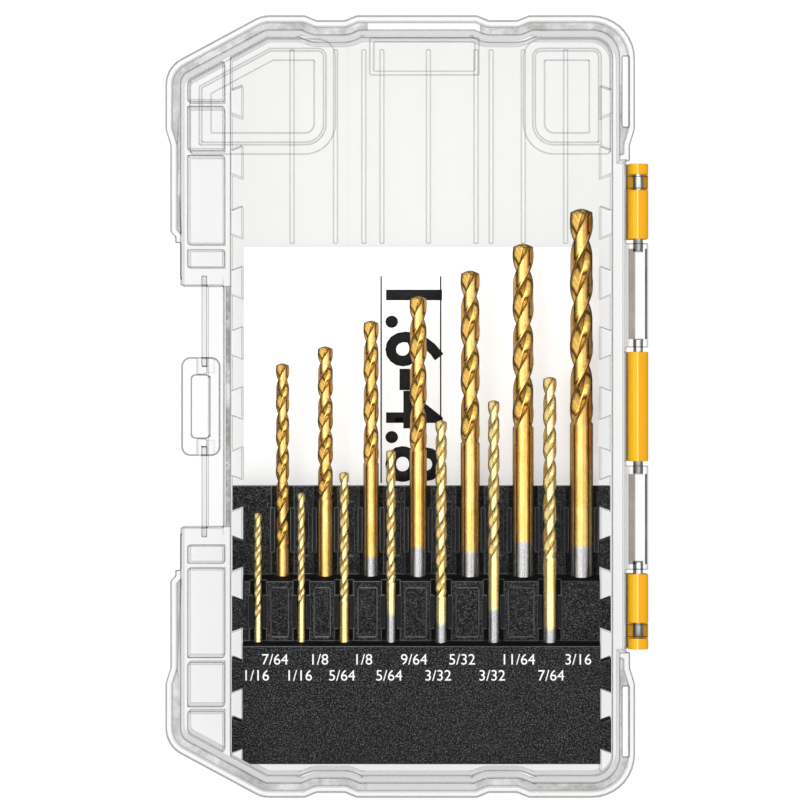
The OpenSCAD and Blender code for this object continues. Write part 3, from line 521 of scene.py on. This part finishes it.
def twist_bit(node_name, silver_px, flute_end_px):
    """A twist bit in its CAD node's place. Below silver_px, if given, its steel is bare, and its flutes end
    at flute_end_px; both are heights in the photograph."""
    low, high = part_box(node_name)
    radius = (high[0] - low[0]) / 2
    x, z = (low[0] + high[0]) / 2, (low[2] + high[2]) / 2
    start, tip = low[1], high[1]
    flute_start = px_y(flute_end_px)
    silver_y = px_y(silver_px) if silver_px else start - MM
    # the nearest pitch to the usual one that turns the lips out to both sides at the point
    half_turns = round(2 * ((tip - flute_start) / (FLUTE_PITCH * 2 * radius) - LAND / 4))
    pitch = (tip - flute_start) / (half_turns / 2 + LAND / 4)
    fade = RUN_OUT * radius
    shoulder_y = tip - POINT_L * radius
    y = start + CHAMFER * radius
    stations = [start, y]
    while y < flute_start - fade:
        y += SHANK_STEP
        stations.append(min(y, flute_start - fade))
    step = pitch / RINGS_PER_TURN
    while y < shoulder_y - step:
        y += step
        stations.append(y)
    stations.append(shoulder_y)
    verts, bare, flute, shade = [], [], [], []

    def ring(y, scale, depth, tipped=0.0):
        swing = 2 * math.pi * (y - flute_start) / pitch
        for i in range(RING_POINTS):
            angle = 2 * math.pi * i / RING_POINTS
            share, line = section((2.0 * i / RING_POINTS) % 1.0, depth)
            # a right-hand helix along +Y
            turned = angle - swing
            r = radius * scale * share
            verts.append((x + r * math.cos(turned), y, z + r * math.sin(turned)))
            bare.append(1.0 if y < silver_y else 0.0)
            flute.append(min(1.0, max(0.0, (0.94 - share) / 0.2)) * min(1.0, depth * 2))
            shade.append(max(line, tipped))

    for k, y in enumerate(stations):
        depth = min(1.0, max(0.0, (y - (flute_start - fade)) / fade))
        scale = END_SHARE if k == 0 else 1.0
        ring(y, scale, math.sqrt(depth), LIP_SHADE if k == len(stations) - 1 else 0.0)
    for back, scale, dark in POINT_RINGS:
        ring(tip - back * radius, scale, 1.0, dark)
    faces = []
    last = len(verts) - RING_POINTS
    for a in range(0, last, RING_POINTS):
        b = a + RING_POINTS
        for i in range(RING_POINTS):
            j = (i + 1) % RING_POINTS
            faces.append((a + i, b + i, b + j, a + j))
    faces.append(tuple(range(RING_POINTS)))
    faces.append(tuple(last + i for i in range(RING_POINTS - 1, -1, -1)))
    made = add_mesh("fluted_" + node_name, verts, faces, gold, node_name)
    for name, values in (("bare", bare), ("flute", flute), ("shade", shade)):
        layer = made.data.attributes.new(name, "FLOAT", "POINT")
        layer.data.foreach_set("value", values)
    bm = bmesh.new()
    bm.from_mesh(made.data)
    bmesh.ops.recalc_face_normals(bm, faces=bm.faces)
    bm.to_mesh(made.data)
    bm.free()
    made.data.shade_smooth()
    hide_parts(node_name)
    return made


# Heights in the photograph where each bit's bare steel begins (None: coated all over) and its flutes end
LONG_SILVER_PX = [None, None, 558, 546, 553, 540, 546]
LONG_FLUTE_PX = [540, 490, 455, 440, 432, 415, 410]
SHORT_SILVER_PX = [None, None, None, 616, 625, 608, 630]
SHORT_FLUTE_PX = [615, 600, 595, 577, 590, 553, 550]

for i in range(len(LONG_FLUTE_PX)):
    twist_bit(f"long_bit_{i + 1}", LONG_SILVER_PX[i], LONG_FLUTE_PX[i])
    twist_bit(f"short_bit_{i + 1}", SHORT_SILVER_PX[i], SHORT_FLUTE_PX[i])


# ---- Print: plain bit sizes on the holder's panel ----

# Height of a figure as a share of its letter size, and the ink's thickness and gap over what it is on
FIGURE_SHARE = 0.69
INK_T = 0.03 * MM
INK_GAP = 0.01 * MM


def printed_text(name, text, x, y, z, height, material, body, turn=0.0, weight=0.0, length=None):
    """Plain printed figures, height tall, centred at x, y and lying on z; weight thickens the strokes,
    and length stretches the line to fit."""
    curve = bpy.data.curves.new(name, "FONT")
    curve.body = text
    curve.align_x = "CENTER"
    curve.align_y = "CENTER"
    curve.size = height / FIGURE_SHARE
    curve.offset = weight * curve.size
    curve.resolution_u = 4
    made = bpy.data.objects.new(name, curve)
    bpy.context.scene.collection.objects.link(made)
    bpy.context.view_layer.update()
    if length:
        made.scale = (length / made.dimensions.x, 1, 1)
    made.location = (x, y, z)
    made.rotation_euler = (0, 0, turn)
    bpy.context.view_layer.update()
    mesh = bpy.data.meshes.new_from_object(made)
    mesh.transform(made.matrix_world)
    bpy.data.objects.remove(made)
    solid = bpy.data.objects.new(name, mesh)
    bpy.context.scene.collection.objects.link(solid)
    mesh.materials.clear()
    mesh.materials.append(material)
    thick = solid.modifiers.new("film", "SOLIDIFY")
    thick.thickness = INK_T
    thick.offset = 1
    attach(solid, body)
    return solid


# Sizes in inches, with a dash for the slash, and the middles of their figures across the photograph
LONG_SIZES = [("7-64", 275), ("1-8", 319), ("1-8", 363), ("9-64", 414), ("5-32", 462), ("11-64", 518),
              ("3-16", 578)]
SHORT_SIZES = [("1-16", 256), ("1-16", 299), ("5-64", 342), ("5-64", 389), ("3-32", 438), ("3-32", 492),
               ("7-64", 551)]
LONG_SIZES_PX = 659.8
SHORT_SIZES_PX = 675.8
FIGURE_H = 2.16 * MM
for row, y, sizes in (("long", LONG_SIZES_PX, LONG_SIZES), ("short", SHORT_SIZES_PX, SHORT_SIZES)):
    for i, (size, x) in enumerate(sizes):
        printed_text(f"size_{row}_{i + 1}", size.replace("-", "/"), px_x(x), px_y(y), PANEL_Z + INK_GAP,
                     FIGURE_H, ink_white, "base")


# ---- Print: plain figures between two thin lines on the backing card ----

LINE_T = 0.02 * MM
LINE_W = 0.3 * MM
BAND_LEFT_PX = 381
BAND_RIGHT_PX = 441
BAND_TOP_PX = 275
BAND_EDGE_GAP = 0.3 * MM
BAND_LEFT, BAND_RIGHT = px_x(BAND_LEFT_PX), px_x(BAND_RIGHT_PX)
BAND_LOW, BAND_HIGH = CARD_LOW[1] + BAND_EDGE_GAP, px_y(BAND_TOP_PX)
BAND_END_GAP = 1.5 * MM
CARD_FIGURE_H = 11.0 * MM
CARD_FIGURE_WEIGHT = 0.022
INK_Z = CARD_HIGH[2] + INK_GAP


def card_line(name, x):
    """A thin black line along the card at x."""
    x0, x1 = x - LINE_W / 2, x + LINE_W / 2
    verts = [(vx, vy, vz) for vz in (INK_Z, INK_Z + LINE_T)
             for vx, vy in ((x0, BAND_LOW), (x1, BAND_LOW), (x1, BAND_HIGH), (x0, BAND_HIGH))]
    faces = [(3, 2, 1, 0), (4, 5, 6, 7), (0, 1, 5, 4), (1, 2, 6, 5), (2, 3, 7, 6), (3, 0, 4, 7)]
    return add_mesh(name, verts, faces, ink_black, "base", smooth=False)


card_line("card_line_left", BAND_LEFT)
card_line("card_line_right", BAND_RIGHT)
printed_text("card_figures", "1.6-4.8", (BAND_LEFT + BAND_RIGHT) / 2, (BAND_LOW + BAND_HIGH) / 2, INK_Z,
             CARD_FIGURE_H, ink_black, "base", turn=-math.pi / 2,
             weight=CARD_FIGURE_WEIGHT, length=BAND_HIGH - BAND_LOW - 2 * BAND_END_GAP)


# ---- Floor, light and camera ----

def white_floor():
    """A grey floor for shadows and soft light, which the camera sees lit up to near white."""
    mat, nodes, links = new_material("white_floor")
    path = nodes.new("ShaderNodeLightPath")
    seen = math_node(nodes, links, "MAXIMUM", path.outputs["Is Camera Ray"],
                     path.outputs["Is Transmission Ray"])
    plain = principled(nodes, **{"Base Color": (0.16, 0.16, 0.16, 1), "Roughness": 0.9})
    glow = node(nodes, "ShaderNodeEmission", Color=(1, 1, 1, 1))
    links.new(math_node(nodes, links, "MULTIPLY", seen, FLOOR_GLOW), glow.inputs["Strength"])
    lit = nodes.new("ShaderNodeAddShader")
    links.new(plain.outputs[0], lit.inputs[0])
    links.new(glow.outputs[0], lit.inputs[1])
    finish_material(nodes, links, lit.outputs[0])
    return mat


FLOOR_GLOW = 0.87
FLOOR_HALF = 3.0
FLOOR_Z = -0.3 * MM
floor_corners = [(x * FLOOR_HALF, y * FLOOR_HALF, FLOOR_Z) for x, y in ((-1, -1), (1, -1), (1, 1), (-1, 1))]
floor_mesh = bpy.data.meshes.new("floor")
floor_mesh.from_pydata(floor_corners, [], [(0, 1, 2, 3)])
floor = bpy.data.objects.new("floor", floor_mesh)
bpy.context.scene.collection.objects.link(floor)
floor_mesh.materials.append(white_floor())

# White all round for the camera, even for soft light, and bright overhead with a dark horizon in reflections
WORLD_LIGHT = 1.12
# Brightness of the strips of light over the part, from the far left (0) over the zenith (0.5) to the far
# right (1)
STRIPS = [(0.0, (0.05,)), (0.1, (0.1,)), (0.16, (1.0,)), (0.3, (1.1,)), (0.36, (0.5,)), (0.44, (0.6,)),
          (0.48, (1.5,)), (0.55, (1.4,)), (0.59, (0.3,)), (0.64, (0.35,)), (0.69, (1.0,)), (0.82, (0.85,)),
          (0.89, (0.08,)), (1.0, (0.05,))]
world = bpy.data.worlds.new("studio")
bpy.context.scene.world = world
world.use_nodes = True
wn, wl = world.node_tree.nodes, world.node_tree.links
wn.clear()
path = wn.new("ShaderNodeLightPath")
seen = math_node(wn, wl, "MAXIMUM", path.outputs["Is Camera Ray"], path.outputs["Is Transmission Ray"])
direction = wn.new("ShaderNodeSeparateXYZ")
wl.new(wn.new("ShaderNodeTexCoord").outputs["Generated"], direction.inputs[0])
across = math_node(wn, wl, "MULTIPLY", math_node(wn, wl, "ADD", direction.outputs["X"], 1.0), 0.5)
upward = ramp(wn, wl, direction.outputs["Z"], [(0.0, (0.15,)), (0.5, (1,))])
strips = mix_colour(wn, wl, upward, (0.0, 0.0, 0.0), ramp(wn, wl, across, STRIPS))
soft = mix_colour(wn, wl, path.outputs["Is Glossy Ray"], (WORLD_LIGHT,) * 3, strips)
shown = mix_colour(wn, wl, seen, soft, (1.0, 1.0, 1.0))
background = node(wn, "ShaderNodeBackground", Strength=1.0)
wl.new(shown, background.inputs["Color"])
wl.new(background.outputs[0], wn.new("ShaderNodeOutputWorld").inputs["Surface"])


def softbox(name, place, size, power, aim=(0, 0, 0.01)):
    """A rectangular lamp at place, which shines at aim."""
    lamp = bpy.data.lights.new(name, "AREA")
    lamp.shape = "RECTANGLE"
    lamp.size, lamp.size_y = size
    lamp.energy = power
    made = bpy.data.objects.new(name, lamp)
    bpy.context.scene.collection.objects.link(made)
    made.location = place
    made.rotation_euler = (Vector(aim) - Vector(place)).to_track_quat("-Z", "Y").to_euler()
    return made


softbox("key", (-0.4, 0.3, 0.8), (0.4, 0.5), 2.2)
softbox("fill", (0.6, -0.1, 0.6), (0.2, 0.8), 0.8)
softbox("overhead", (-0.12, 0.0, 1.1), (0.1, 0.9), 1.2)

# A long lens straight over the part, whose picture has the photograph's scale at the height FOCUS_Z
LENS = 400
SENSOR = 36
FOCUS_Z = 17 * MM
FARTHEST = 10
camera_data = bpy.data.cameras.new("camera")
camera_data.lens = LENS
camera_data.sensor_width = SENSOR
camera = bpy.data.objects.new("camera", camera_data)
bpy.context.scene.collection.objects.link(camera)
camera.location = (px_x(PICTURE / 2), px_y(PICTURE / 2), FOCUS_Z + PICTURE * PIXEL * LENS / SENSOR)
camera.rotation_euler = (0, 0, 0)
camera_data.clip_end = FARTHEST
bpy.context.scene.camera = camera
bpy.context.scene.view_settings.view_transform = "Standard"
bpy.context.scene.cycles.transparent_max_bounces = 32
